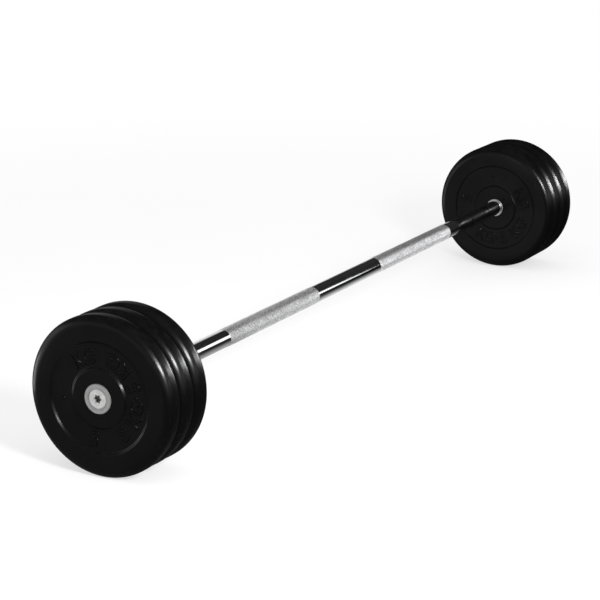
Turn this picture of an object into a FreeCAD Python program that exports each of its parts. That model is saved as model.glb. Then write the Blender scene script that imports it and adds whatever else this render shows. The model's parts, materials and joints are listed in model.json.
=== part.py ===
"""Fixed barbell: a turned steel bar with two raised grips and three rubber-coated plates on each end.

The frame: +X along the bar, +Z up, origin on the floor below the middle of the bar, millimetres.
The plates stand on the floor, so the bar's axis lies one plate radius above it.
Round pieces are turned about the bar's axis. The pieces of one end are drawn in end coordinates:
x = 0 is the outer face of the outermost plate, +x runs inward along the bar, r is the radius.
"""
import FreeCAD, Part
import math
import os

from FreeCAD import Vector

# Plates: the three on each end are alike, with their deeper recessed side facing outward
plate_diameter = 230.0
plate_thickness = 35.0
plate_places = ("outer", "middle", "inner")
inner_face_distance = 1230.0

# Rubber coat: a flat hub, a recessed band and a flat ring on each side, and a rounded rim
hub_front_diameter = 81.0
hub_back_diameter = 82.0
band_front_diameter = 163.0
band_back_diameter = 158.0
front_recess = 3.2
front_step_round = 2.0
back_recess = 1.2
back_step_round = 0.8
front_shoulder_radial = 14.5
front_shoulder_axial = 12.0
back_shoulder_radial = 14.0
back_shoulder_axial = 15.5
coat_wall = 7.7
coat_rim_wall = 11.0
coat_mouth_chamfer = 1.6
face_relief = 0.1
bond_film = 0.1

# Iron core: hub, thinner web behind the recessed bands, and rim
core_step_setback = 3.0
core_step_run = 3.0
core_corner_round = 4.0

# Steel bush in the middle of each plate
bush_outer_diameter = 33.0
bush_bore_chamfer = 0.5
bush_edge_round = 1.2

# Bar: one turned piece
bar_diameter = 27.4
grip_diameter = 28.0
grip_inner_end = 109.0
grip_length = 279.0
spigot_diameter = 25.0
spigot_clearance = 0.1
spigot_setback = 1.8
spigot_chamfer = 1.0
relief_width = 2.0
relief_depth = 0.4

# Tapped hole in each end of the bar
thread_diameter = 14.0
thread_clearance = 0.1
tapped_depth = 42.0
tap_drill_diameter = 12.0
tap_drill_extra = 6.0
drill_point_share = 0.6

# Countersunk end screw, 90 degree head, six-lobed socket
screw_head_diameter = 27.8
screw_head_edge = 0.6
screw_head_bevel = 0.4
screw_length = 38.0
screw_tip_chamfer = 1.5
screw_inset = 0.2
head_clearance = 0.15
socket_width = 13.4
socket_waist = 9.6
socket_lobe_radius = 1.1
socket_depth = 5.5
socket_lobes = 6

# Thick washer under the screw's head
washer_diameter = 42.4
washer_thickness = 2.0
washer_edge_round = 0.6

axis_height = plate_diameter / 2
end_plane = inner_face_distance / 2 + len(plate_places) * plate_thickness
bush_bore_radius = spigot_diameter / 2 + spigot_clearance
coat_bore_radius = bush_outer_diameter / 2 + bond_film
slant_share = math.sqrt(0.5)


class Outline:
    """A closed outline in the plane of x and r, drawn edge by edge and turned about the bar's axis."""

    def __init__(self, x, r):
        self.start = self.here = Vector(x, 0, r)
        self.edges = []

    def line(self, x, r):
        there = Vector(x, 0, r)
        self.edges.append(Part.LineSegment(self.here, there).toShape())
        self.here = there

    def arc(self, middle_x, middle_r, x, r):
        there = Vector(x, 0, r)
        self.edges.append(Part.Arc(self.here, Vector(middle_x, 0, middle_r), there).toShape())
        self.here = there

    def step(self, depth, rounding, way):
        """Changes x by depth on a 45 degree slope with rounded ends, outward (way 1) or inward (-1)."""
        x, r = self.here.x, self.here.z
        run = way * step_run(depth, rounding)
        rise = math.copysign(rounding * (1 - slant_share), depth)
        reach = way * rounding * slant_share
        half_rise = math.copysign(rounding * (1 - math.cos(math.pi / 8)), depth)
        half_reach = way * rounding * math.sin(math.pi / 8)
        self.arc(x + half_rise, r + half_reach, x + rise, r + reach)
        self.line(x + depth - rise, r + run - reach)
        self.arc(x + depth - half_rise, r + run - half_reach, x + depth, r + run)

    def quarter(self, x, r, centre_x, centre_r):
        """Goes to x and r on a quarter of an ellipse about the given centre."""
        there, centre = Vector(x, 0, r), Vector(centre_x, 0, centre_r)
        ends = sorted((self.here, there), key=centre.distanceToPoint, reverse=True)
        ellipse = Part.Ellipse(*ends, centre)
        first, last = ellipse.parameter(self.here), ellipse.parameter(there)
        if (last - first) % (2 * math.pi) > math.pi:
            first, last = last, first
        self.edges.append(Part.ArcOfEllipse(ellipse, first, last).toShape())
        self.here = there

    def face(self):
        if self.here != self.start:
            self.line(self.start.x, self.start.z)
        return Part.Face(Part.Wire(Part.__sortEdges__(self.edges)))


def step_run(depth, rounding):
    """How far a 45 degree step with rounded ends reaches along r."""
    return abs(depth) + 2 * rounding * (2 * slant_share - 1)


def turn(face):
    """Turns a face of x and r about the bar's axis."""
    return face.revolve(Vector(0, 0, 0), Vector(1, 0, 0), 360)


def seat(shape, side):
    """Moves a piece from end coordinates to its place on the left or right end of the bar."""
    placed = shape.copy()
    if side == "right":
        placed.rotate(Vector(0, 0, 0), Vector(0, 0, 1), 180)
        placed.translate(Vector(end_plane, 0, axis_height))
    else:
        placed.translate(Vector(-end_plane, 0, axis_height))
    return placed


def coat_outside():
    """The rubber coat's whole outer outline, from the bush outward on the front and back again."""
    front, back = face_relief, plate_thickness - face_relief
    rim = plate_diameter / 2
    band_front, band_back = band_front_diameter / 2, band_back_diameter / 2
    front_run = step_run(front_recess, front_step_round)
    back_run = step_run(back_recess, back_step_round)
    front_edge, back_edge = rim - front_shoulder_radial, rim - back_shoulder_radial
    mouth = coat_mouth_chamfer
    outline = Outline(front + mouth, coat_bore_radius)
    outline.line(front, coat_bore_radius + mouth)
    outline.line(front, hub_front_diameter / 2)
    outline.step(front_recess, front_step_round, 1)
    outline.line(front + front_recess, band_front - front_run)
    outline.step(-front_recess, front_step_round, 1)
    outline.line(front, front_edge)
    outline.quarter(front + front_shoulder_axial, rim, front + front_shoulder_axial, front_edge)
    outline.line(back - back_shoulder_axial, rim)
    outline.quarter(back, back_edge, back - back_shoulder_axial, back_edge)
    outline.line(back, band_back)
    outline.step(-back_recess, back_step_round, -1)
    outline.line(back - back_recess, hub_back_diameter / 2 + back_run)
    outline.step(back_recess, back_step_round, -1)
    outline.line(back, coat_bore_radius + mouth)
    outline.line(back - mouth, coat_bore_radius)
    return outline.face()


def core_section(film):
    """The iron core's section, grown by film where the coat is bonded to it."""
    inset = face_relief + coat_wall - film
    front, back = inset, plate_thickness - inset
    rim = plate_diameter / 2 - coat_rim_wall + film
    hub_radius = hub_front_diameter / 2 - core_step_setback
    web_radius = band_front_diameter / 2 + core_step_setback
    corner = core_corner_round
    lean = corner * slant_share
    outline = Outline(front, coat_bore_radius - film)
    outline.line(front, hub_radius)
    outline.line(front + front_recess, hub_radius + core_step_run)
    outline.line(front + front_recess, web_radius - core_step_run)
    outline.line(front, web_radius)
    outline.line(front, rim - corner)
    outline.arc(front + corner - lean, rim - corner + lean, front + corner, rim)
    outline.line(back - corner, rim)
    outline.arc(back - corner + lean, rim - corner + lean, back, rim - corner)
    outline.line(back, web_radius)
    outline.line(back - back_recess, web_radius - core_step_run)
    outline.line(back - back_recess, hub_radius + core_step_run)
    outline.line(back, hub_radius)
    outline.line(back, coat_bore_radius - film)
    return outline.face()


def rubber_coat():
    return turn(coat_outside().cut(core_section(bond_film)).Faces[0])


def iron_core():
    return turn(core_section(0))


def steel_bush():
    """A tube as long as the plate is thick, its outer edges rounded and its bore's edges chamfered."""
    inner, outer = bush_bore_radius, bush_outer_diameter / 2
    bevel, edge = bush_bore_chamfer, bush_edge_round
    lean = edge * (1 - slant_share)
    outline = Outline(0, inner + bevel)
    outline.line(0, outer - edge)
    outline.arc(lean, outer - lean, edge, outer)
    outline.line(plate_thickness - edge, outer)
    outline.arc(plate_thickness - lean, outer - lean, plate_thickness, outer - edge)
    outline.line(plate_thickness, inner + bevel)
    outline.line(plate_thickness - bevel, inner)
    outline.line(bevel, inner)
    return turn(outline.face())


def head_cone_radius(x):
    """Radius of the screw's cone at x, with the head's flat top set a little below the washer's face."""
    top = screw_inset - washer_thickness
    return screw_head_diameter / 2 - (x - top - screw_head_edge)


def end_washer():
    """A washer whose 90 degree countersink takes the screw's head."""
    outer = washer_diameter / 2
    bevel = washer_edge_round
    lean = bevel * (1 - slant_share)
    mouth = screw_head_diameter / 2 + head_clearance
    cone_start = screw_inset + screw_head_edge - washer_thickness
    outline = Outline(-washer_thickness, mouth)
    outline.line(-washer_thickness, outer - bevel)
    outline.arc(lean - washer_thickness, outer - lean, bevel - washer_thickness, outer)
    outline.line(0, outer)
    outline.line(0, head_cone_radius(0) + head_clearance)
    outline.line(cone_start, mouth)
    return turn(outline.face())


def socket_outline():
    """Six rounded lobes joined by six hollows, all arcs meeting in line, about the X axis."""
    half_pitch = math.pi / socket_lobes
    lobe_centre = socket_width / 2 - socket_lobe_radius
    waist = socket_waist / 2
    lean = lobe_centre * math.cos(half_pitch)
    excess = socket_lobe_radius ** 2 - lobe_centre ** 2 - waist ** 2 + 2 * waist * lean
    hollow_radius = excess / (2 * (waist - lean - socket_lobe_radius))
    hollow_centre = waist + hollow_radius

    def polar(radius, angle):
        return Vector(0, radius * math.cos(angle), radius * math.sin(angle))

    def meeting(lobe_angle, hollow_angle):
        lobe = polar(lobe_centre, lobe_angle)
        towards = polar(hollow_centre, hollow_angle) - lobe
        return lobe + towards.normalize() * socket_lobe_radius

    edges = []
    for lobe in range(socket_lobes):
        angle = 2 * half_pitch * lobe
        before = meeting(angle, angle - half_pitch)
        after = meeting(angle, angle + half_pitch)
        following = meeting(angle + 2 * half_pitch, angle + half_pitch)
        edges.append(Part.Arc(before, polar(socket_width / 2, angle), after).toShape())
        edges.append(Part.Arc(after, polar(waist, angle + half_pitch), following).toShape())
    return Part.Face(Part.Wire(Part.__sortEdges__(edges)))


def end_screw():
    top = screw_inset - washer_thickness
    tip = top + screw_length
    head, shank = screw_head_diameter / 2, thread_diameter / 2
    cone_end = top + screw_head_edge + head - shank
    outline = Outline(top, 0)
    outline.line(top, head - screw_head_bevel)
    outline.line(top + screw_head_bevel, head)
    outline.line(top + screw_head_edge, head)
    outline.line(cone_end, shank)
    outline.line(tip - screw_tip_chamfer, shank)
    outline.line(tip, shank - screw_tip_chamfer)
    outline.line(tip, 0)
    socket = socket_outline().extrude(Vector(socket_depth, 0, 0))
    socket.translate(Vector(top, 0, 0))
    return turn(outline.face()).cut(socket)


def bar_half():
    """The bar's outline from its middle to one end, as places along x from the middle and radii."""
    plain, grip, spigot = bar_diameter / 2, grip_diameter / 2, spigot_diameter / 2
    shoulder = inner_face_distance / 2
    end = end_plane - spigot_setback
    grip_rise = grip - plain
    grip_outer_end = grip_inner_end + grip_length
    return [
        (grip_inner_end, plain),
        (grip_inner_end + grip_rise, grip),
        (grip_outer_end - grip_rise, grip),
        (grip_outer_end, plain),
        (shoulder, plain),
        (shoulder, spigot - relief_depth),
        (shoulder + relief_width, spigot - relief_depth),
        (shoulder + relief_width + relief_depth, spigot),
        (end - spigot_chamfer, spigot),
        (end, spigot - spigot_chamfer),
    ]


def tapped_hole():
    """The space cut from one end of the bar: countersink, thread, tapping drill and its point."""
    mouth = spigot_setback
    drill, thread = tap_drill_diameter / 2, thread_diameter / 2 + thread_clearance
    mouth_radius = head_cone_radius(mouth) + 2 * head_clearance
    drilled = mouth + tapped_depth + tap_drill_extra
    outline = Outline(mouth, 0)
    outline.line(mouth, mouth_radius)
    outline.line(mouth + mouth_radius - thread, thread)
    outline.line(mouth + tapped_depth, thread)
    outline.line(mouth + tapped_depth, drill)
    outline.line(drilled, drill)
    outline.line(drilled + drill * drill_point_share, 0)
    return turn(outline.face())


def bar():
    half = bar_half()
    end = end_plane - spigot_setback
    outline = Outline(-end, 0)
    for x, r in reversed(half):
        outline.line(-x, r)
    for x, r in half:
        outline.line(x, r)
    outline.line(end, 0)
    turned = turn(outline.face())
    turned.translate(Vector(0, 0, axis_height))
    hole = tapped_hole()
    return turned.cut([seat(hole, "left"), seat(hole, "right")])


def plate_depth(number):
    """Where plate number starts in end coordinates, counted from the outermost."""
    return number * plate_thickness


def save(shape, name):
    shape.exportStep(os.path.join("parts", name + ".step"))


def main():
    os.makedirs("parts", exist_ok=True)
    save(bar(), "bar")
    plate_pieces = {"rubber": rubber_coat(), "core": iron_core(), "bush": steel_bush()}
    end_pieces = {"washer": end_washer(), "screw": end_screw()}
    for side in ("left", "right"):
        for number, place in enumerate(plate_places):
            for piece, shape in plate_pieces.items():
                moved = shape.copy()
                moved.translate(Vector(plate_depth(number), 0, 0))
                save(seat(moved, side), side + "_" + place + "_plate_" + piece)
        for piece, shape in end_pieces.items():
            save(seat(shape, side), side + "_end_" + piece)


main()
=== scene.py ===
"""Looks of a fixed barbell: rubber-coated plates with raised marks, a chromed bar with two knurled
grips, zinc-plated bushes, washers and screws, and a plain studio stage round them.

Everything is in metres in the part's own frame: +X along the bar, +Z up, the floor at z = 0.
"""
import json
import math
import random

import bmesh
import bpy
from bpy.props import FloatProperty, FloatVectorProperty, IntProperty, PointerProperty, StringProperty
from bpy.types import Operator, Panel, PropertyGroup
from mathutils import Matrix, Vector

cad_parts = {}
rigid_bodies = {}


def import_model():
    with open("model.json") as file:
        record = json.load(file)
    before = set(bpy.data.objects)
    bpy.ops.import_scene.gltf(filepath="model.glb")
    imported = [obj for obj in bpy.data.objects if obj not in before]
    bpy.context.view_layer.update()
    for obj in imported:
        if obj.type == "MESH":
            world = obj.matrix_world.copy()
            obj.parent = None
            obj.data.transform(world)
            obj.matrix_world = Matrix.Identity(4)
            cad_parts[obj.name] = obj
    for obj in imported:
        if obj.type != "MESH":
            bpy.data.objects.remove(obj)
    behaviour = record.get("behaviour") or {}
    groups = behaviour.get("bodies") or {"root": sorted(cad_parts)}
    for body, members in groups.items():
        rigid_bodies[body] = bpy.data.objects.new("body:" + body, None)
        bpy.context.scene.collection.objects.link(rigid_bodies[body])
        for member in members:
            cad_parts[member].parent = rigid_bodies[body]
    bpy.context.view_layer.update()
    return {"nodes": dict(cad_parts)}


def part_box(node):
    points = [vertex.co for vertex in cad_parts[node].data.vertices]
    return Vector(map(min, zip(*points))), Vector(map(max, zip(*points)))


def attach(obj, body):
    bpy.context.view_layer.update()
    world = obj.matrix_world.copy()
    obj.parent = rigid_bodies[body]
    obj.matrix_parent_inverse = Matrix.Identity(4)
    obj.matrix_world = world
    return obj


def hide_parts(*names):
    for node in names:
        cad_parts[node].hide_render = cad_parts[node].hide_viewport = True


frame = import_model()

bl_info = {
    "name": "Fixed Barbell",
    "version": (1, 0, 0),
    "blender": (4, 5, 0),
    "location": "View3D > Sidebar > Barbell",
    "description": "Builds the plates, bar, grips and finishes of a fixed barbell on its packed frame",
    "category": "Object",
}

sides = ("left", "right")
places = ("outer", "middle", "inner")
coat_low, coat_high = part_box("left_outer_plate_rubber")
core_low, core_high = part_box("left_outer_plate_core")
bush_low, bush_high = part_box("left_outer_plate_bush")
bar_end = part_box("bar")[1].x
inner_face = -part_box("left_inner_plate_bush")[1].x
axis_height = (coat_low.z + coat_high.z) / 2
thickness = bush_high.x - bush_low.x
bush_proud = coat_low.x - bush_low.x

white = (1.0, 1.0, 1.0, 1.0)
cloud_span = (0.3, 0.7)  # the range that cloudy noise seldom leaves


def length(name, description, default):
    """A size in metres that a user may change."""
    return FloatProperty(
        name=name, description=description, default=default, min=0.0, precision=5, unit="LENGTH",
        subtype="DISTANCE")


def turn(name, description, degrees):
    """An angle that a user may change."""
    return FloatProperty(
        name=name, description=description, default=math.radians(degrees), subtype="ANGLE")


def tint(name, description, default):
    """A linear colour that a user may change."""
    return FloatVectorProperty(
        name=name, description=description, default=default, min=0.0, max=1.0, size=3, subtype="COLOR")


def share(name, description, default):
    """A number from 0 to 1 that a user may change."""
    return FloatProperty(
        name=name, description=description, default=default, min=0.0, max=1.0, subtype="FACTOR")


def watts(name, description, default):
    """The power of a lamp that a user may change."""
    return FloatProperty(name=name, description=description, default=default, min=0.0, unit="POWER")


class PlateSizes(PropertyGroup):
    """Sizes of one rubber-coated plate; the front is the side with the deeper band."""

    hub_front: length("Front hub", "Diameter of the flat hub on the front", 0.081)
    hub_back: length("Back hub", "Diameter of the flat hub on the back", 0.082)
    band_front: length("Front band", "Outer diameter of the recessed band on the front", 0.163)
    band_back: length("Back band", "Outer diameter of the recessed band on the back", 0.158)
    front_recess: length("Front recess", "Depth of the band on the front", 0.0032)
    front_round: length("Front step rounding", "Rounding of the slopes round the front band", 0.002)
    back_recess: length("Back recess", "Depth of the band on the back", 0.0012)
    back_round: length("Back step rounding", "Rounding of the slopes round the back band", 0.0008)
    front_radial: length("Front shoulder height", "Radial size of the front shoulder", 0.0145)
    front_axial: length("Front shoulder depth", "Axial size of the front shoulder", 0.012)
    back_radial: length("Back shoulder height", "Radial size of the back shoulder", 0.014)
    back_axial: length("Back shoulder depth", "Axial size of the back shoulder", 0.0155)
    mouth: length("Mouth chamfer", "Chamfer of the coat where it meets the bush", 0.0016)
    core_corner: length("Core corner", "Rounding of the iron core's outer edges", 0.004)
    film: length("Film", "Clearance drawn between the coat and what it is bonded to", 0.0001)
    segments: IntProperty(name="Segments", description="Faces round each coat", default=240, min=24)


class MarkSizes(PropertyGroup):
    """The raised marks in the recessed bands: a number and a unit of weight."""

    number: StringProperty(
        name="Number", description="Weight that each plate is marked with", default="5")
    unit: StringProperty(name="Unit", description="Unit of that weight", default="KG")
    height: length("Letter height", "Height of the letters along the radius", 0.0205)
    radius: length("Letter radius", "Distance from the bar's axis to the middle of the letters", 0.0592)
    relief: length("Relief", "How far the letters stand out of the band on the front", 0.0012)
    back_relief: length("Back relief", "How far the letters stand out of the band on the back", 0.0011)
    slope: length("Slope", "How far the marks' sides lean in as they rise", 0.001)
    dot: length("Dot", "Diameter of the plain dots between the marks", 0.005)
    spread: turn("Spread", "Angle from the top of the design to the number and to the unit", 73.0)
    pitch: turn("Letter pitch", "Angle from one letter to the next", 17.0)


class BarSizes(PropertyGroup):
    """Sizes of the turned bar and its two grips."""

    plain: length("Plain diameter", "Diameter of the bar's plain stretches", 0.0274)
    grip: length("Grip diameter", "Diameter over the knurling", 0.0282)
    grip_start: length("Grip start", "From the middle of the bar to each grip", 0.109)
    grip_length: length("Grip length", "Length of each grip", 0.279)
    grip_end: length("Grip end", "Length of the plain bevel at each end of a grip", 0.0006)
    seat: length("Grip seat", "Diameter that the knurled sleeve is drawn on", 0.0262)
    tooth: length("Tooth", "Height of the knurling's diamonds", 0.00025)
    tooth_pitch: length("Tooth pitch", "Distance from diamond to diamond along the bar", 0.0016)
    stray: share("Stray", "How far the diamonds stray from their places, as worn knurling does", 0.35)
    teeth: IntProperty(name="Teeth", description="Diamonds round the bar", default=56, min=12)
    spigot: length("Spigot diameter", "Diameter of the ends that carry the plates", 0.025)
    bevel: length("Spigot bevel", "Bevel at each end of the bar", 0.001)
    hole: length("Hole diameter", "Diameter of the tapped hole in each end", 0.0142)
    mouth: length("Hole mouth", "Diameter of the hole's countersunk mouth", 0.0226)
    hole_depth: length("Hole depth", "Depth of the hole in each end", 0.048)
    segments: IntProperty(name="Segments", description="Faces round the bar", default=160, min=24)


class Finishes(PropertyGroup):
    """Colours and gloss of the materials."""

    rubber: tint("Rubber", "Colour of the rubber coats", (0.002, 0.002, 0.0021))
    rubber_dust: tint(
        "Rubber bloom", "Colour of the bloom and scuffs on the rubber", (0.02, 0.02, 0.021))
    rubber_shine: share("Rubber shine", "Weight of the thin shine over the rubber", 0.22)
    rubber_gloss: share("Rubber roughness", "Roughness of that shine", 0.23)
    chrome: tint("Chrome", "Colour of the polished chrome", (0.80, 0.80, 0.815))
    grip: tint("Grip", "Colour of the knurled grips", (0.98, 0.98, 0.99))
    iron: tint("Iron", "Colour of the cast iron cores", (0.16, 0.155, 0.15))
    bush: tint("Bush", "Colour of the bushes", (0.5, 0.5, 0.49))
    washer: tint("Washer", "Colour of the end washers", (0.54, 0.54, 0.54))
    screw: tint("Screw", "Colour of the end screws", (0.8, 0.8, 0.79))


class StageSettings(PropertyGroup):
    """Where the camera stands and how strong the lamps are. A glint lamp shows only in reflections."""

    aim: FloatVectorProperty(
        name="Aim", description="Point that the camera looks at", default=(0.0, 0.0820, 0.0709),
        subtype="XYZ")
    azimuth: turn(
        "Azimuth", "Camera's place round the barbell, 0 on the -Y side and 90 on the +X side", -61.356)
    elevation: turn("Elevation", "Camera's height above the horizon", 15.233)
    distance: length("Distance", "From the aim to the camera", 3.531)
    lens: FloatProperty(name="Lens", description="Focal length", default=127.33, unit="CAMERA")
    floor: length("Floor", "Radius of the pale floor", 16.0)
    key: watts("Key lamp", "Softbox beside the camera", 60.0)
    side: watts("Side lamp", "Softbox beyond the right end", 6.0)
    key_glint: watts("Key glint", "Glint lamp beside the camera", 168.0)
    rim_glint: watts("Rim glint", "Glint lamps for the streaks on the plates' rims", 25.0)
    low_glint: watts("Low glint", "Glint lamps by the floor for the plates' left edges", 0.8)
    fill_glint: watts("Fill glint", "Broad glint lamps for the sheen on the plates' rims", 30.0)
    grip_glint: watts("Grip glint", "Glint lamps for the knurling", 38.0)
    ambient: FloatProperty(
        name="Ambient", description="Strength of the world's even light", default=0.85)
    fade: share("Floor white", "Share of plain white in the floor near the barbell", 0.62)


class BarbellSettings(PropertyGroup):
    """All the settings of the barbell and its stage."""

    plates: PointerProperty(type=PlateSizes)
    marks: PointerProperty(type=MarkSizes)
    bar: PointerProperty(type=BarSizes)
    finishes: PointerProperty(type=Finishes)
    stage: PointerProperty(type=StageSettings)


# Turned pieces


class Profile:
    """A closed outline turned about the bar's axis: x along the bar, r from the axis.

    Its corners are the points where it stays sharp."""

    def __init__(self, x, r):
        self.points = [(x, r)]
        self.corners = {0}

    def line(self, x, r):
        """Goes straight to x and r, where the outline has a sharp corner."""
        self.points.append((x, r))
        self.corners.add(len(self.points) - 1)

    def soften(self):
        """Makes the last point run on smoothly."""
        self.corners.discard(len(self.points) - 1)

    def step(self, depth, rounding, way, parts=6):
        """Changes x by depth on a 45 degree slope with rounded ends, outward (way 1) or inward (-1)."""
        x, r = self.points[-1]
        run = way * step_run(depth, rounding)
        turns = [math.pi / 4 * part / parts for part in range(parts + 1)]
        rises = [math.copysign(rounding * (1 - math.cos(angle)), depth) for angle in turns]
        reaches = [way * rounding * math.sin(angle) for angle in turns]
        self.soften()
        for rise, reach in zip(rises[1:], reaches[1:]):
            self.points.append((x + rise, r + reach))
        for rise, reach in zip(reversed(rises), reversed(reaches)):
            self.points.append((x + depth - rise, r + run - reach))

    def quarter(self, x, r, centre_x, centre_r, parts=18):
        """Goes to x and r on a quarter of an ellipse about the given centre."""
        start_x, start_r = self.points[-1]
        self.soften()
        for part in range(1, parts + 1):
            angle = math.pi / 2 * part / parts
            self.points.append((
                centre_x + (start_x - centre_x) * math.cos(angle) + (x - centre_x) * math.sin(angle),
                centre_r + (start_r - centre_r) * math.cos(angle) + (r - centre_r) * math.sin(angle)))


def step_run(depth, rounding):
    """How far a 45 degree step with rounded ends reaches along r."""
    return abs(depth) + 2 * rounding * (math.sqrt(2) - 1)


def placed(name, data):
    """An object with this data, linked to the scene."""
    made = bpy.data.objects.new(name, data)
    bpy.context.scene.collection.objects.link(made)
    return made


def new_piece(name, mesh, material):
    """Puts a mesh in the scene as a piece of the barbell."""
    piece = placed(name, mesh)
    mesh.materials.append(material)
    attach(piece, "root")
    return piece


def finished_mesh(name, work):
    """Turns a bmesh into a mesh whose faces all look outward."""
    bmesh.ops.recalc_face_normals(work, faces=work.faces)
    mesh = bpy.data.meshes.new(name)
    work.to_mesh(mesh)
    work.free()
    return mesh


def round_axis(x, r, angle):
    """The place at x and r from the bar's axis, at an angle about it."""
    return x, r * math.cos(angle), axis_height + r * math.sin(angle)


def turned_mesh(name, profile, segments, place):
    """Turns a profile about the bar's axis; place gives the true x of an outline's x."""
    work = bmesh.new()
    rings = []
    for x, r in profile.points:
        if r == 0:
            rings.append([work.verts.new((place(x), 0, axis_height))] * segments)
        else:
            rings.append([
                work.verts.new(round_axis(place(x), r, 2 * math.pi * number / segments))
                for number in range(segments)])
    closed = profile.points[0][1] != 0
    for number in range(len(rings) if closed else len(rings) - 1):
        ring, following = rings[number], rings[(number + 1) % len(rings)]
        for here in range(segments):
            there = (here + 1) % segments
            corners = (ring[here], ring[there], following[there], following[here])
            work.faces.new(list(dict.fromkeys(corners))).smooth = True
    for number in profile.corners:
        ring = set(rings[number])
        for vertex in ring:
            for edge in vertex.link_edges:
                if edge.other_vert(vertex) in ring:
                    edge.smooth = False
    return finished_mesh(name, work)


def end_place(side, start):
    """Maps x counted inward from a plate's front to the true x of that side."""
    sign = -1 if side == "left" else 1
    return lambda x: sign * (start - x)


def plate_start(side, place):
    """Distance from the middle of the bar to the front of a plate."""
    low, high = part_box(f"{side}_{place}_plate_bush")
    return max(abs(low.x), abs(high.x))


def coat_profile(sizes):
    """The coat's outline, from the bush outward on the front, back again, and round the cavity."""
    front, back = bush_proud, thickness - bush_proud
    rim = (coat_high.z - coat_low.z) / 2
    bore = (bush_high.z - bush_low.z) / 2 + sizes.film
    front_edge, back_edge = rim - sizes.front_radial, rim - sizes.back_radial
    front_run = step_run(sizes.front_recess, sizes.front_round)
    back_run = step_run(sizes.back_recess, sizes.back_round)
    profile = Profile(front + sizes.mouth, bore)
    profile.line(front, bore + sizes.mouth)
    profile.line(front, sizes.hub_front / 2)
    profile.step(sizes.front_recess, sizes.front_round, 1)
    profile.line(front + sizes.front_recess, sizes.band_front / 2 - front_run)
    profile.step(-sizes.front_recess, sizes.front_round, 1)
    profile.line(front, front_edge)
    profile.quarter(front + sizes.front_axial, rim, front + sizes.front_axial, front_edge)
    profile.line(back - sizes.back_axial, rim)
    profile.quarter(back, back_edge, back - sizes.back_axial, back_edge)
    profile.line(back, sizes.band_back / 2)
    profile.step(-sizes.back_recess, sizes.back_round, -1)
    profile.line(back - sizes.back_recess, sizes.hub_back / 2 + back_run)
    profile.step(sizes.back_recess, sizes.back_round, -1)
    profile.line(back, bore + sizes.mouth)
    profile.line(back - sizes.mouth, bore)
    cavity_front = core_low.x - bush_low.x - sizes.film
    cavity_back = core_high.x - bush_low.x + sizes.film
    cavity_rim = (core_high.z - core_low.z) / 2 + sizes.film
    corner = sizes.core_corner
    corner_rim = cavity_rim - corner
    profile.line(cavity_back, bore)
    profile.line(cavity_back, corner_rim)
    profile.quarter(cavity_back - corner, cavity_rim, cavity_back - corner, corner_rim, parts=6)
    profile.line(cavity_front + corner, cavity_rim)
    profile.quarter(cavity_front, corner_rim, cavity_front + corner, corner_rim, parts=6)
    profile.line(cavity_front, bore)
    return profile


def bar_profile(sizes):
    """The bar's outline from end to end, with the tapped hole in each end and a seat for each grip."""
    plain, spigot, seat = sizes.plain / 2, sizes.spigot / 2, sizes.seat / 2
    hole, mouth = sizes.hole / 2, sizes.mouth / 2
    grip_end = sizes.grip_start + sizes.grip_length
    half = [
        (sizes.grip_start, plain),
        (sizes.grip_start, seat),
        (grip_end, seat),
        (grip_end, plain),
        (inner_face, plain),
        (inner_face, spigot),
        (bar_end - sizes.bevel, spigot),
        (bar_end, spigot - sizes.bevel),
        (bar_end, mouth),
        (bar_end - mouth + hole, hole),
        (bar_end - sizes.hole_depth, hole),
    ]
    profile = Profile(-bar_end + sizes.hole_depth, 0)
    for x, r in reversed(half):
        profile.line(-x, r)
    for x, r in half:
        profile.line(x, r)
    profile.line(bar_end - sizes.hole_depth, 0)
    return profile


def knurled_mesh(name, sizes, sign):
    """A sleeve of uneven pyramids: rows of peaks and hollows that change places from row to row."""
    start, end = sizes.grip_start, sizes.grip_start + sizes.grip_length
    bevel, peak, seat, plain = sizes.grip_end, sizes.grip / 2, sizes.seat / 2, sizes.plain / 2
    hollow = peak - sizes.tooth
    chance = random.Random(7)
    rows = round((end - start - 2 * bevel) / sizes.tooth_pitch * 2)
    columns = 2 * sizes.teeth
    pitch = (end - start - 2 * bevel) / rows
    work = bmesh.new()

    def ring(x, radius_at, stray=0.0):
        made = []
        for column in range(columns):
            angle = 2 * math.pi * (column + stray * chance.uniform(-1, 1)) / columns
            radius = radius_at(column)
            along = sign * (x + stray * pitch * chance.uniform(-1, 1))
            made.append(work.verts.new(round_axis(along, radius, angle)))
        return made

    def tooth_radius(row, column):
        if row in (0, rows) or (row + column) % 2 == 0:
            return hollow
        return peak - sizes.tooth * chance.uniform(0, 0.5)

    rings = [ring(start, lambda column: seat), ring(start, lambda column: plain)]
    for row in range(rows + 1):
        stray = 0.0 if row in (0, rows) else sizes.stray
        rings.append(ring(start + bevel + row * pitch, lambda column: tooth_radius(row, column), stray))
    rings += [ring(end, lambda column: plain), ring(end, lambda column: seat)]
    for number, here in enumerate(rings):
        following = rings[(number + 1) % len(rings)]
        knurled = 2 <= number < len(rings) - 3
        for column in range(columns):
            beside = (column + 1) % columns
            a, b, c, d = here[column], following[column], following[beside], here[beside]
            if not knurled:
                work.faces.new((a, b, c, d)).smooth = True
            elif (number + column) % 2 == 0:
                work.faces.new((a, b, c))
                work.faces.new((a, c, d))
            else:
                work.faces.new((a, b, d))
                work.faces.new((b, c, d))
    return finished_mesh(name, work)


# Raised marks


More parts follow.
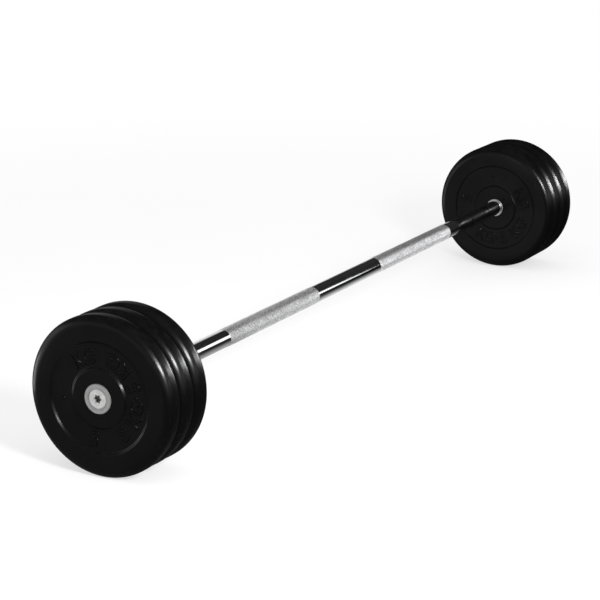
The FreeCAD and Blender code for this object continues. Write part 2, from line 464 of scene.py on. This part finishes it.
def glyph_points(text, sizes, relief):
    """A letter as a mesh standing on z = 0, its middle at the origin, scaled to the letter height."""
    curve = bpy.data.curves.new("glyph", "FONT")
    curve.body = text
    curve.align_x = "CENTER"
    curve.resolution_u = 6
    piece = placed("glyph", curve)
    bpy.context.view_layer.update()
    tall = max(piece.dimensions.y, 1e-6)
    curve.size = sizes.height / tall
    curve.extrude = relief - sizes.slope
    curve.bevel_depth = sizes.slope
    curve.bevel_resolution = 0
    curve.offset = -sizes.slope / 4
    bpy.context.view_layer.update()
    mesh = bpy.data.meshes.new_from_object(piece.evaluated_get(bpy.context.evaluated_depsgraph_get()))
    bpy.data.objects.remove(piece)
    bpy.data.curves.remove(curve)
    xs = [vertex.co.x for vertex in mesh.vertices]
    ys = [vertex.co.y for vertex in mesh.vertices]
    middle = Vector(((min(xs) + max(xs)) / 2, (min(ys) + max(ys)) / 2, 0))
    mesh.transform(Matrix.Translation(-middle))
    return mesh


def dot_points(sizes, relief):
    """A low round dot with a sloping side, standing on z = 0."""
    work = bmesh.new()
    radius, slope, around = sizes.dot / 2, sizes.slope, 28
    rings = []
    for reach, height in ((radius, -relief), (radius, relief - slope), (radius - slope, relief)):
        rings.append([work.verts.new((
            reach * math.cos(2 * math.pi * number / around),
            reach * math.sin(2 * math.pi * number / around), height)) for number in range(around)])
    for ring, following in zip(rings, rings[1:]):
        for number in range(around):
            beside = (number + 1) % around
            work.faces.new((ring[number], ring[beside], following[beside], following[number]))
    work.faces.new(rings[-1])
    work.faces.new(list(reversed(rings[0])))
    return finished_mesh("dot", work)


def mark_places(sizes):
    """Each mark of the design: its text, its angle from the top, and whether its top looks outward."""
    marks = [(sizes.number, -sizes.spread, True)]
    first = sizes.spread - sizes.pitch * (len(sizes.unit) - 1) / 2
    for number, letter in enumerate(sizes.unit):
        marks.append((letter, first + sizes.pitch * number, True))
    marks.append((".", 0.0, True))
    narrow = 0.62
    once = list(sizes.number) + [" "] + list(sizes.unit)
    lower = once + ["."] + once
    slots = [narrow if text in " ." else 1.0 for text in lower]
    reach = sum((a + b) / 2 for a, b in zip(slots, slots[1:]))
    angle = math.pi + sizes.pitch * reach / 2
    for number, text in enumerate(lower):
        if number:
            angle -= sizes.pitch * (slots[number - 1] + slots[number]) / 2
        if text != " ":
            marks.append((text, angle, False))
    return marks


def face_marks(name, sizes, relief, floor_x, facing, turned):
    """All the marks of one face as one mesh; facing is -1 for a face that looks to -X."""
    work = bmesh.new()
    for text, angle, outward in mark_places(sizes):
        mesh = dot_points(sizes, relief) if text == "." else glyph_points(text, sizes, relief)
        at = angle + turned
        along = Vector((0, facing * math.cos(at), -math.sin(at)))
        up = Vector((0, facing * math.sin(at), math.cos(at)))
        centre = Vector((floor_x, 0, axis_height)) + up * sizes.radius
        if not outward:
            along, up = -along, -up
        across = Matrix((along, up, Vector((facing, 0, 0)))).transposed().to_4x4()
        mesh.transform(Matrix.Translation(centre) @ across)
        work.from_mesh(mesh)
        bpy.data.meshes.remove(mesh)
    bmesh.ops.remove_doubles(work, verts=work.verts, dist=1e-6)
    return finished_mesh(name, work)


# Node helpers


def fill(tree, sockets, values):
    """Fills sockets; a value is a number or colour, or another node's output to link to the socket."""
    for socket, value in values.items():
        if isinstance(value, bpy.types.NodeSocket):
            tree.links.new(value, sockets[socket])
        else:
            sockets[socket].default_value = value


def add_node(tree, kind, values=None, **settings):
    """Adds a node with these settings and fills its sockets."""
    node = tree.nodes.new(kind)
    node.location = (190 * (len(tree.nodes) - 2), -160 * (len(tree.nodes) % 3))
    for key, value in settings.items():
        setattr(node, key, value)
    fill(tree, node.inputs, values or {})
    return node


def calc(tree, operation, first, second=0.0, clamp=False):
    """One step of arithmetic."""
    return add_node(
        tree, "ShaderNodeMath", {0: first, 1: second}, operation=operation, use_clamp=clamp).outputs[0]


def times(tree, first, second):
    """The product of two values."""
    return calc(tree, "MULTIPLY", first, second)


def vector_calc(tree, operation, first, second=(0, 0, 0)):
    """One step of arithmetic on vectors."""
    return add_node(tree, "ShaderNodeVectorMath", {0: first, 1: second}, operation=operation).outputs


def spread_value(tree, value, low, high, to_low=0.0, to_high=1.0):
    """Maps a value from one range to another, held at both ends."""
    return add_node(tree, "ShaderNodeMapRange", {
        "Value": value, "From Min": low, "From Max": high, "To Min": to_low,
        "To Max": to_high}).outputs["Result"]


def noise(tree, vector, scale, detail, roughness=0.55):
    """Cloudy noise from 0 to 1."""
    return add_node(tree, "ShaderNodeTexNoise", {
        "Vector": vector, "Scale": scale, "Detail": detail, "Roughness": roughness}).outputs["Fac"]


def line_noise(tree, value, detail):
    """Noise from 0 to 1 along one value."""
    return add_node(tree, "ShaderNodeTexNoise", {
        "W": value, "Scale": 1.0, "Detail": detail}, noise_dimensions="1D").outputs["Fac"]


def mixed(tree, factor, first, second):
    """A colour between two colours."""
    return add_node(tree, "ShaderNodeMix", {0: factor, 6: first, 7: second}, data_type="RGBA").outputs[2]


def along_axis(tree, vector, axis):
    """One coordinate of a vector."""
    return add_node(tree, "ShaderNodeSeparateXYZ", {0: vector}).outputs[axis]


def look_along(tree, axis, normal="Normal"):
    """How much a surface looks along an axis, from -1 to 1."""
    return along_axis(tree, add_node(tree, "ShaderNodeNewGeometry").outputs[normal], axis)


def axis_distance(tree, vector):
    """Distance of a place from the bar's axis."""
    apart = vector_calc(tree, "SUBTRACT", vector, (0, 0, axis_height))["Vector"]
    across = vector_calc(tree, "MULTIPLY", apart, (0, 1, 1))["Vector"]
    return vector_calc(tree, "LENGTH", across)["Value"]


def new_group(name, inputs, outputs):
    """An empty shader node group with named number inputs and outputs; its first input is a place."""
    group = bpy.data.node_groups.new(name, "ShaderNodeTree")
    group.interface.new_socket("Vector", in_out="INPUT", socket_type="NodeSocketVector")
    for socket, default in inputs.items():
        made = group.interface.new_socket(socket, in_out="INPUT", socket_type="NodeSocketFloat")
        made.default_value = default
    for socket in outputs:
        group.interface.new_socket(socket, in_out="OUTPUT", socket_type="NodeSocketFloat")
    return group, group.nodes.new("NodeGroupInput").outputs, group.nodes.new("NodeGroupOutput").inputs


def grain_group():
    """Fine grain with a slow swell under it, as moulding or casting leaves."""
    group, given, result = new_group(
        "Surface Grain", {"Grain Scale": 900.0, "Swell Scale": 30.0, "Swell Share": 0.5},
        ("Height", "Cloud"))
    fine = noise(group, given["Vector"], given["Grain Scale"], 3.0)
    slow = noise(group, given["Vector"], given["Swell Scale"], 2.0)
    rest = calc(group, "SUBTRACT", 1.0, given["Swell Share"])
    height = calc(group, "ADD", times(group, slow, given["Swell Share"]), times(group, fine, rest))
    fill(group, result, {"Height": height, "Cloud": slow})
    return group


def scuff_group():
    """Rubbed patches and short scratches on what stands furthest from the bar's axis."""
    group, given, result = new_group(
        "Rim Scuffs", {"Inner Radius": 0.104, "Outer Radius": 0.115, "Scale": 70.0, "Cover": 0.42},
        ("Mask",))
    radius = axis_distance(group, given["Vector"])
    reach = spread_value(group, radius, given["Inner Radius"], given["Outer Radius"])
    drawn = vector_calc(group, "MULTIPLY", given["Vector"], (3.0, 1.0, 1.0))["Vector"]
    patches = noise(group, drawn, given["Scale"], 8.0, 0.7)
    bare = calc(group, "SUBTRACT", 1.0, given["Cover"])
    worn = spread_value(group, patches, bare, calc(group, "ADD", bare, 0.12))
    fill(group, result, {"Mask": times(group, reach, worn)})
    return group


def dust_group():
    """A thin bloom that settles on surfaces that look upward."""
    group, given, result = new_group("Settled Dust", {"Scale": 60.0, "Amount": 0.25}, ("Mask",))
    upward = spread_value(group, look_along(group, "Z"), 0.1, 1.0)
    cloud = noise(group, given["Vector"], given["Scale"], 6.0, 0.65)
    lying = times(group, upward, spread_value(group, cloud, 0.4, 0.75))
    fill(group, result, {"Mask": times(group, lying, given["Amount"])})
    return group


def step_group():
    """Shade in the corners of the shallow steps on a plate's back."""
    group, given, result = new_group(
        "Step Shade", {"Hub Radius": 0.0407, "Band Radius": 0.0793, "Reach": 0.0018}, ("Mask",))
    radius = axis_distance(group, given["Vector"])
    side = calc(group, "SIGN", along_axis(group, given["Vector"], "X"))
    inward = spread_value(group, times(group, look_along(group, "X"), side), -0.3, -0.6)
    near = None
    for socket in ("Hub Radius", "Band Radius"):
        apart = calc(group, "ABSOLUTE", calc(group, "SUBTRACT", radius, given[socket]))
        close = calc(group, "SUBTRACT", 1.0, calc(group, "DIVIDE", apart, given["Reach"]), clamp=True)
        near = close if near is None else calc(group, "MAXIMUM", near, close)
    fill(group, result, {"Mask": times(group, near, inward)})
    return group


def mark_shade_group():
    """Painted shade on the sloping sides of what stands between two radii on a plate's face."""
    group, given, result = new_group(
        "Mark Side Shade", {"Inner Radius": 0.047, "Outer Radius": 0.0745}, ("Mask",))
    radius = axis_distance(group, given["Vector"])
    flat = calc(group, "ABSOLUTE", look_along(group, "X", "True Normal"))
    within = times(group, calc(group, "GREATER_THAN", radius, given["Inner Radius"]),
                   calc(group, "LESS_THAN", radius, given["Outer Radius"]))
    fill(group, result, {"Mask": times(group, within, spread_value(group, flat, 0.95, 0.75))})
    return group


def turning_group():
    """Fine rings about the bar's axis, as a lathe tool leaves on a face."""
    group, given, result = new_group("Turning Rings", {"Rings Per Metre": 2300.0}, ("Height", "Shade"))
    steps = times(group, axis_distance(group, given["Vector"]), given["Rings Per Metre"])
    broad = times(group, steps, 0.13)
    fill(group, result, {
        "Height": line_noise(group, steps, 2.0), "Shade": line_noise(group, broad, 1.0)})
    return group


def polish_group():
    """Faint lines round the bar from polishing, and the cloudy marks of hands."""
    group, given, result = new_group(
        "Polishing Lines", {"Lines Per Metre": 1600.0}, ("Height", "Smudge"))
    steps = times(group, along_axis(group, given["Vector"], "X"), given["Lines Per Metre"])
    smudge = noise(group, given["Vector"], 38.0, 5.0, 0.6)
    fill(group, result, {
        "Height": line_noise(group, steps, 3.0), "Smudge": spread_value(group, smudge, 0.45, 0.75)})
    return group


group_builders = {
    "Surface Grain": grain_group, "Rim Scuffs": scuff_group, "Settled Dust": dust_group,
    "Step Shade": step_group, "Mark Side Shade": mark_shade_group, "Turning Rings": turning_group,
    "Polishing Lines": polish_group}


def place_of(tree):
    """The place on the object, in metres."""
    found = tree.nodes.get("Place") or add_node(tree, "ShaderNodeTexCoord", name="Place")
    return found.outputs["Object"]


def placed_group(tree, name, values=None):
    """Places a shared node group, built when it is first asked for; values replace its own ones."""
    group = bpy.data.node_groups.get(name) or group_builders[name]()
    return add_node(
        tree, "ShaderNodeGroup", {"Vector": place_of(tree), **(values or {})}, node_tree=group).outputs


def new_material(name, metallic=0.0, specular=0.5):
    """A material with nodes, and its shader."""
    material = bpy.data.materials.new(name)
    material.use_nodes = True
    tree = material.node_tree
    shader = tree.nodes["Principled BSDF"]
    fill(tree, shader.inputs, {"Metallic": metallic, "Specular IOR Level": specular})
    return material, tree, shader


def bump(tree, height, distance, strength):
    """The normal of a surface that this height stands on."""
    return add_node(tree, "ShaderNodeBump", {
        "Height": height, "Distance": distance, "Strength": strength}).outputs["Normal"]


def solid(colour, weight=1.0):
    """A colour with full cover, darkened by a weight."""
    return (*(channel * weight for channel in colour), 1.0)


# Materials


def rubber_material(finishes):
    """Satin black moulded rubber: a thin shine over black, with fine grain, a bloom and a rubbed rim.

    Painted shade cuts the shine in the corners of the steps on the plates' backs and on the sloping
    sides of the marks."""
    made = bpy.data.materials.get("satin_rubber")
    if made:
        return made
    material, tree, shader = new_material("satin_rubber", specular=0.0)
    grain = placed_group(
        tree, "Surface Grain", {"Grain Scale": 1400.0, "Swell Scale": 24.0, "Swell Share": 0.75})
    scuffs = placed_group(tree, "Rim Scuffs")
    dust = placed_group(tree, "Settled Dust")
    steps = placed_group(tree, "Step Shade")
    marks = placed_group(tree, "Mark Side Shade")
    cover = calc(tree, "MAXIMUM", times(tree, scuffs["Mask"], 0.3), dust["Mask"], clamp=True)
    colour = mixed(tree, cover, solid(finishes.rubber), solid(finishes.rubber_dust))
    shine = spread_value(
        tree, grain["Cloud"], *cloud_span, finishes.rubber_shine * 0.9, finishes.rubber_shine * 1.1)
    # The step and mark masks are painted shade that cuts the shine; the rubbed rim and bloom dull it as
    # real wear.
    for mask, left in ((steps["Mask"], 0.15), (marks["Mask"], 0.2), (cover, 0.7)):
        shine = times(tree, shine, spread_value(tree, mask, 0.0, 1.0, 1.0, left))
    fill(tree, shader.inputs, {
        "Base Color": colour, "Roughness": 0.6, "Coat Weight": shine,
        "Coat Roughness": finishes.rubber_gloss,
        "Normal": bump(tree, grain["Height"], distance=0.00025, strength=0.6)})
    return material


def chrome_material(finishes):
    """Polished chrome with faint polishing lines and the cloudy marks of hands."""
    material, tree, shader = new_material("polished_chrome", metallic=1.0)
    polish = placed_group(tree, "Polishing Lines")
    grain = placed_group(
        tree, "Surface Grain", {"Grain Scale": 420.0, "Swell Scale": 55.0, "Swell Share": 0.7})
    colour = mixed(tree, polish["Smudge"], solid(finishes.chrome), solid(finishes.chrome, 0.9))
    height = calc(tree, "ADD", times(tree, polish["Height"], 0.1), grain["Height"])
    fill(tree, shader.inputs, {
        "Base Color": colour, "Roughness": spread_value(tree, polish["Smudge"], 0.0, 1.0, 0.07, 0.14),
        "Normal": bump(tree, height, distance=0.00004, strength=0.5)})
    return material


def grip_material(finishes):
    """Matte chromed knurling, a little darker where hands have rubbed it."""
    material, tree, shader = new_material("knurled_chrome", metallic=1.0)
    grain = placed_group(
        tree, "Surface Grain", {"Grain Scale": 520.0, "Swell Scale": 60.0, "Swell Share": 0.15})
    worn = spread_value(tree, grain["Height"], 0.38, 0.62)
    colour = mixed(tree, worn, solid(finishes.grip), solid(finishes.grip, 0.4))
    fill(tree, shader.inputs, {
        "Base Color": colour, "Roughness": spread_value(tree, grain["Cloud"], *cloud_span, 0.34, 0.44),
        "Normal": bump(tree, grain["Height"], distance=0.00008, strength=0.5)})
    return material


def turned_steel_material(name, colour, gloss, metallic=1.0, socket_floor=None, edge=None):
    """Zinc-plated steel with a lathe's rings, painted shade in the socket, and painted shade with more
    roughness beyond the edge radius.
    """
    material, tree, shader = new_material(name, metallic)
    socket_fade, edge_fade = 0.0035, 0.0008
    turning = placed_group(tree, "Turning Rings")
    grain = placed_group(
        tree, "Surface Grain", {"Grain Scale": 2200.0, "Swell Scale": 150.0, "Swell Share": 0.4})
    shade = times(tree, turning["Shade"], grain["Cloud"])
    skin = mixed(tree, spread_value(tree, shade, 0.12, 0.4), solid(colour), solid(colour, 0.7))
    matte = spread_value(tree, grain["Height"], 0.35, 0.65, gloss - 0.06, gloss + 0.06)
    # Painted shade: the colour darkens towards the socket's floor.
    if socket_floor:
        depth = calc(tree, "ABSOLUTE", along_axis(tree, place_of(tree), "X"))
        lit = spread_value(tree, depth, socket_floor, socket_floor + socket_fade)
        skin = mixed(tree, lit, solid((0.09, 0.09, 0.09)), skin)
    # Painted shade: the colour darkens beyond the edge radius, where the surface also turns rougher.
    if edge:
        beyond = spread_value(tree, axis_distance(tree, place_of(tree)), edge - edge_fade, edge)
        skin = mixed(tree, beyond, skin, solid(colour, 0.6))
        matte = calc(tree, "MAXIMUM", matte, times(tree, beyond, 0.75))
    height = calc(tree, "ADD", turning["Height"], times(tree, grain["Height"], 0.6))
    fill(tree, shader.inputs, {
        "Base Color": skin, "Roughness": matte,
        "Normal": bump(tree, height, distance=0.00008, strength=0.5)})
    return material


def iron_material(finishes):
    """Rough cast iron with a sandy skin and rusty stains."""
    material, tree, shader = new_material("cast_iron", metallic=0.75)
    grain = placed_group(
        tree, "Surface Grain", {"Grain Scale": 600.0, "Swell Scale": 35.0, "Swell Share": 0.35})
    rust = tuple(channel * weight for channel, weight in zip(finishes.iron, (1.15, 0.72, 0.5)))
    stain = spread_value(tree, grain["Cloud"], 0.5, 0.75)
    fill(tree, shader.inputs, {
        "Base Color": mixed(tree, stain, solid(finishes.iron), solid(rust)),
        "Roughness": spread_value(tree, grain["Height"], *cloud_span, 0.55, 0.8),
        "Normal": bump(tree, grain["Height"], distance=0.0006, strength=0.8)})
    return material


def give_material(node, material):
    """Gives a CAD node its finish."""
    mesh = frame["nodes"][node].data
    mesh.materials.clear()
    mesh.materials.append(material)


# Pieces, each built by its own operator


class BARBELL_OT_coats(Operator):
    """Builds the rubber coat of each of the six plates"""

    bl_idname = "barbell.coats"
    bl_label = "Rubber Coats"

    def execute(self, context):
        settings = context.scene.barbell
        material = rubber_material(settings.finishes)
        profile = coat_profile(settings.plates)
        for side in sides:
            for place in places:
                at = end_place(side, plate_start(side, place))
                name = f"{side}_{place}_plate_coat"
                mesh = turned_mesh(name, profile, settings.plates.segments, at)
                coat = new_piece(name, mesh, material)
                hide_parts(f"{side}_{place}_plate_rubber")
        return {"FINISHED"}


class BARBELL_OT_marks(Operator):
    """Raises the weight marks in the bands of the plates"""

    bl_idname = "barbell.marks"
    bl_label = "Raised Marks"

    def execute(self, context):
        settings = context.scene.barbell
        sizes, plates = settings.marks, settings.plates
        material = rubber_material(settings.finishes)
        # How far each plate is turned about the bar, in degrees, clockwise as each face is seen
        turns = {"left": (-98.0, 40.0, 155.0), "right": (62.0, -130.0, -5.0)}
        faces = (
            ("front", 1, sizes.relief, bush_proud + plates.front_recess),
            ("back", -1, sizes.back_relief, thickness - bush_proud - plates.back_recess))
        for side, sign in zip(sides, (-1, 1)):
            for place, degrees in zip(places, turns[side]):
                at = end_place(side, plate_start(side, place))
                for face, way, relief, depth in faces:
                    name = f"{side}_{place}_{face}_marks"
                    mesh = face_marks(name, sizes, relief, at(depth), way * sign, math.radians(degrees))
                    new_piece(name, mesh, material)
        return {"FINISHED"}


class BARBELL_OT_bar(Operator):
    """Turns the chromed bar with its spigots and tapped holes"""

    bl_idname = "barbell.bar"
    bl_label = "Chromed Bar"

    def execute(self, context):
        settings = context.scene.barbell
        mesh = turned_mesh("bar_shaft", bar_profile(settings.bar), settings.bar.segments, lambda x: x)
        shaft = new_piece("bar_shaft", mesh, chrome_material(settings.finishes))
        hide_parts("bar")
        return {"FINISHED"}


class BARBELL_OT_grips(Operator):
    """Cuts the diamond knurling of the two grips"""

    bl_idname = "barbell.grips"
    bl_label = "Knurled Grips"

    def execute(self, context):
        settings = context.scene.barbell
        material = grip_material(settings.finishes)
        for side, sign in zip(sides, (-1, 1)):
            name = f"{side}_grip"
            new_piece(name, knurled_mesh(name, settings.bar, sign), material)
        return {"FINISHED"}


class BARBELL_OT_steel(Operator):
    """Finishes the bushes, end washers and end screws"""

    bl_idname = "barbell.steel"
    bl_label = "Bushes, Washers and Screws"

    def execute(self, context):
        finishes = context.scene.barbell.finishes
        washer_low, washer_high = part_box("right_end_washer")
        # The socket floor and the edge radii bound the painted shade of the steel finishes.
        socket_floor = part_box("right_end_screw")[1].x - 0.005
        bush_edge = (bush_high.z - bush_low.z) / 2 - 0.0002
        washer_edge = (washer_high.z - washer_low.z) / 2 - 0.0004
        bush = turned_steel_material("zinc_bush", finishes.bush, 0.21, edge=bush_edge)
        washer = turned_steel_material("zinc_washer", finishes.washer, 0.44, 0.92, edge=washer_edge)
        screw = turned_steel_material("zinc_screw", finishes.screw, 0.43, 0.76, socket_floor)
        for side in sides:
            for place in places:
                give_material(f"{side}_{place}_plate_bush", bush)
            give_material(f"{side}_end_washer", washer)
            give_material(f"{side}_end_screw", screw)
        return {"FINISHED"}


class BARBELL_OT_cores(Operator):
    """Finishes the iron cores inside the rubber"""

    bl_idname = "barbell.cores"
    bl_label = "Iron Cores"

    def execute(self, context):
        iron = iron_material(context.scene.barbell.finishes)
        for side in sides:
            for place in places:
                give_material(f"{side}_{place}_plate_core", iron)
        return {"FINISHED"}


# Stage


def stand(holder, aim, azimuth, elevation, distance):
    """Stands a lamp or camera at these angles from the aim, and turns it to look there."""
    back = Vector((
        math.sin(azimuth) * math.cos(elevation), -math.cos(azimuth) * math.cos(elevation),
        math.sin(elevation)))
    holder.location = Vector(aim) + back * distance
    holder.rotation_mode = "QUATERNION"
    holder.rotation_quaternion = back.to_track_quat("Z", "Y")


def pieces_with(finish):
    """A collection of the pieces with one finish, for the lamps that show on them alone."""
    found = bpy.data.collections.get(finish)
    if not found:
        found = bpy.data.collections.new(finish)
        for piece in bpy.context.scene.objects:
            if piece.type == "MESH" and finish in piece.data.materials:
                found.objects.link(piece)
    return found


def softbox(name, azimuth, elevation, distance, width, height, power, aim, finish):
    """A rectangular soft lamp; with a finish it shows only as a glint on the pieces with that finish."""
    lamp = bpy.data.lights.new(name, "AREA")
    lamp.shape = "RECTANGLE"
    lamp.size, lamp.size_y = width, height
    lamp.energy = power
    holder = placed(name, lamp)
    stand(holder, aim, math.radians(azimuth), math.radians(elevation), distance)
    if finish:
        holder.visible_camera = False
        holder.visible_diffuse = False
        holder.light_linking.receiver_collection = pieces_with(finish)


def dark_card(name, x, reach, low, high):
    """A black card across the bar's line at x, a sector between two angles, seen only in reflections."""
    corners = [(x, 0, axis_height)]
    parts = 12
    for part in range(parts + 1):
        angle = math.radians(low + (high - low) * part / parts)
        corners.append((x, -reach * math.cos(angle), axis_height + reach * math.sin(angle)))
    mesh = bpy.data.meshes.new(name)
    mesh.from_pydata(corners, [], [tuple(range(len(corners)))])
    card = placed(name, mesh)
    material, _, shader = new_material("black_card", specular=0.0)
    shader.inputs["Base Color"].default_value = solid((0.02, 0.02, 0.02))
    mesh.materials.append(material)
    card.visible_camera = False
    card.visible_diffuse = False
    card.visible_shadow = False


def glow(tree, kind, strength):
    """A plain white shader of some strength, for the floor or the world."""
    return add_node(tree, kind, {"Color": white, "Strength": strength}).outputs[0]


def shader_mix(tree, factor, first, second):
    """A shader between two shaders."""
    return add_node(tree, "ShaderNodeMixShader", {0: factor, 1: first, 2: second}).outputs[0]


def pale_floor(settings):
    """The floor: a wide pale disc that keeps the barbell's soft shadow and fades to white further out.

    Shiny surfaces see a painted reflection in its place: painted shade before the barbell and beyond its
    right end, and a painted glow below and behind the bar. Each range holds two places and the values
    there."""
    front_edge = (-0.22, -0.11, 0.026, 0.2)
    below_bar = (-0.11, 0.02, 0.0, 0.64)
    left_part = (-0.3, 0.2, 0.4, 1.0)
    right_end = (0.5, 0.65, 1.0, 0.2)
    white_out = (1.0, 2.2, settings.fade, 1.0)
    work = bmesh.new()
    bmesh.ops.create_circle(work, cap_ends=True, segments=64, radius=settings.floor)
    mesh = bpy.data.meshes.new("floor")
    work.to_mesh(mesh)
    work.free()
    floor = placed("floor", mesh)
    material, tree, shader = new_material("pale_floor", specular=0.0)
    place = place_of(tree)
    cloud = spread_value(tree, noise(tree, place, 3.0, 2.0), *cloud_span)
    colour = mixed(tree, cloud, solid((0.9, 0.9, 0.9)), solid((0.92, 0.92, 0.92)))
    fill(tree, shader.inputs, {"Base Color": colour, "Roughness": 0.9})
    path = add_node(tree, "ShaderNodeLightPath").outputs
    apart = vector_calc(tree, "LENGTH", place)["Value"]
    whitened = times(tree, path["Is Camera Ray"], spread_value(tree, apart, *white_out))
    seen = shader_mix(tree, whitened, shader.outputs[0], glow(tree, "ShaderNodeEmission", 1.0))
    # Glossy rays see this painted reflection instead of the lit floor: painted shade before the barbell
    # and past the right end, and a painted glow below the bar.
    x, y = along_axis(tree, place, "X"), along_axis(tree, place, "Y")
    lit = times(tree, spread_value(tree, y, *below_bar), spread_value(tree, x, *left_part))
    lit = calc(tree, "ADD", spread_value(tree, y, *front_edge), lit)
    lit = times(tree, lit, spread_value(tree, x, *right_end))
    mirrored = glow(tree, "ShaderNodeEmission", lit)
    seen = shader_mix(tree, path["Is Glossy Ray"], seen, mirrored)
    tree.links.new(seen, tree.nodes["Material Output"].inputs["Surface"])
    mesh.materials.append(material)


def even_world(settings):
    """An even pale world, white to the camera.

    Shiny surfaces mirror it darker overhead and to the right, but not at the far right. Each range
    holds two directions and the values there."""
    overhead = (0.15, 0.5, 1.0, 0.25)
    to_right = (0.0, 0.2, 1.0, 0.5)
    far_right = (0.55, 0.75, 0.5, 1.0)
    world = bpy.data.worlds.new("studio")
    bpy.context.scene.world = world
    world.use_nodes = True
    tree = world.node_tree
    even = tree.nodes["Background"]
    even.inputs["Color"].default_value = white
    even.inputs["Strength"].default_value = settings.ambient
    path = add_node(tree, "ShaderNodeLightPath").outputs
    direction = add_node(tree, "ShaderNodeTexCoord").outputs["Generated"]
    height, across = along_axis(tree, direction, "Z"), along_axis(tree, direction, "X")
    sideways = calc(
        tree, "MAXIMUM", spread_value(tree, across, *to_right), spread_value(tree, across, *far_right))
    darkened = times(tree, spread_value(tree, height, *overhead), sideways)
    mirrored = glow(tree, "ShaderNodeBackground", darkened)
    seen = shader_mix(tree, path["Is Glossy Ray"], even.outputs[0], mirrored)
    seen = shader_mix(tree, path["Is Camera Ray"], seen, glow(tree, "ShaderNodeBackground", 1.0))
    tree.links.new(seen, tree.nodes["World Output"].inputs["Surface"])


def aimed_camera(settings):
    """The camera at the photograph's angle."""
    data = bpy.data.cameras.new("camera")
    data.sensor_width = 36.0
    data.lens = settings.lens
    data.clip_end = 100.0
    camera = placed("camera", data)
    stand(camera, settings.aim, settings.azimuth, settings.elevation, settings.distance)
    bpy.context.scene.camera = camera


class BARBELL_OT_stage(Operator):
    """Sets up the floor, the world, the lamps, the dark cards and the camera"""

    bl_idname = "barbell.stage"
    bl_label = "Stage"

    def execute(self, context):
        settings = context.scene.barbell.stage
        context.scene.view_settings.view_transform = "Standard"
        pale_floor(settings)
        even_world(settings)
        rubber, knurl = "satin_rubber", "knurled_chrome"
        middle, left_face = (0.0, 0.0, 0.115), (-0.72, 0.0, 0.115)
        left_rim, right_rim = (-0.668, -0.103, 0.166), (0.66, -0.1, 0.16)
        before_left, beyond_left = (-0.8, 0.392, 0.13), (-1.0, 0.392, 0.13)
        before_right, below_grips = (0.45, 0.392, 0.13), (0.3, -0.1, 0.12)
        key, side, low = settings.key, settings.side, settings.low_glint
        rim, broad, grip = settings.rim_glint, settings.fill_glint, settings.grip_glint
        # Name, azimuth and elevation in degrees, distance, width, height, power, aim, finish
        lamps = (
            ("key", -40.0, 25.0, 2.6, 0.5, 0.5, key, middle, None),
            ("key_glint", -35.0, 24.5, 2.6, 1.0, 0.35, settings.key_glint, left_face, rubber),
            ("left_glint", 57.0, 12.5, 4.0, 0.45, 0.45, rim, left_rim, rubber),
            ("right_glint", 66.7, 9.0, 4.0, 0.4, 0.6, rim * 10, right_rim, rubber),
            ("low_glint", 180.0, -39.2, 0.1, 0.2, 0.16, low * 1.2, before_left, rubber),
            ("low_fade", 180.0, -39.2, 0.1, 0.2, 0.16, low * 0.35, beyond_left, rubber),
            ("far_low_glint", 180.0, -39.2, 0.1, 0.3, 0.16, low * 0.5, before_right, rubber),
            ("back_glint", 207.0, 8.0, 3.0, 2.0, 1.2, broad * 0.45, middle, rubber),
            ("fill_glint", 8.0, 22.0, 3.0, 2.4, 1.6, broad, middle, rubber),
            ("grip_glint", 55.0, 9.0, 4.0, 1.0, 1.6, grip, middle, knurl),
            ("grip_low_glint", 0.0, -80.0, 0.1, 1.1, 0.25, grip * 0.0105, below_grips, knurl),
            ("grip_top_glint", 113.0, 24.0, 4.0, 1.0, 1.2, grip * 0.45, middle, knurl),
            ("side", 53.5, 11.5, 4.0, 0.95, 1.3, side, middle, None),
        )
        for lamp in lamps:
            softbox(*lamp)
        dark_card("far_card", x=4.0, reach=5.5, low=-8.0, high=127.0)
        dark_card("end_card", x=1.05, reach=0.8, low=75.0, high=165.0)
        aimed_camera(settings)
        return {"FINISHED"}


piece_operators = (
    BARBELL_OT_coats, BARBELL_OT_marks, BARBELL_OT_bar, BARBELL_OT_grips, BARBELL_OT_steel,
    BARBELL_OT_cores, BARBELL_OT_stage)


class BARBELL_PT_panel(Panel):
    """Lists the pieces of the barbell and their sizes"""

    bl_idname = "BARBELL_PT_panel"
    bl_label = "Fixed Barbell"
    bl_space_type = "VIEW_3D"
    bl_region_type = "UI"
    bl_category = "Barbell"

    def draw(self, context):
        for operator in piece_operators:
            self.layout.operator(operator.bl_idname)
        settings = context.scene.barbell
        for group in (settings.plates, settings.marks, settings.bar, settings.finishes, settings.stage):
            box = self.layout.box()
            for name in group.bl_rna.properties.keys():
                if name not in ("rna_type", "name"):
                    box.prop(group, name)


classes = (
    PlateSizes, MarkSizes, BarSizes, Finishes, StageSettings, BarbellSettings, *piece_operators,
    BARBELL_PT_panel)


def register():
    """Adds the settings, the operators and the panel."""
    for each in classes:
        bpy.utils.register_class(each)
    bpy.types.Scene.barbell = PointerProperty(type=BarbellSettings)


def unregister():
    """Takes them away again."""
    del bpy.types.Scene.barbell
    for each in reversed(classes):
        bpy.utils.unregister_class(each)


def main():
    """Builds every piece in order."""
    register()
    bpy.ops.barbell.coats()
    bpy.ops.barbell.marks()
    bpy.ops.barbell.bar()
    bpy.ops.barbell.grips()
    bpy.ops.barbell.steel()
    bpy.ops.barbell.cores()
    bpy.ops.barbell.stage()


if __name__ == "__main__":
    main()
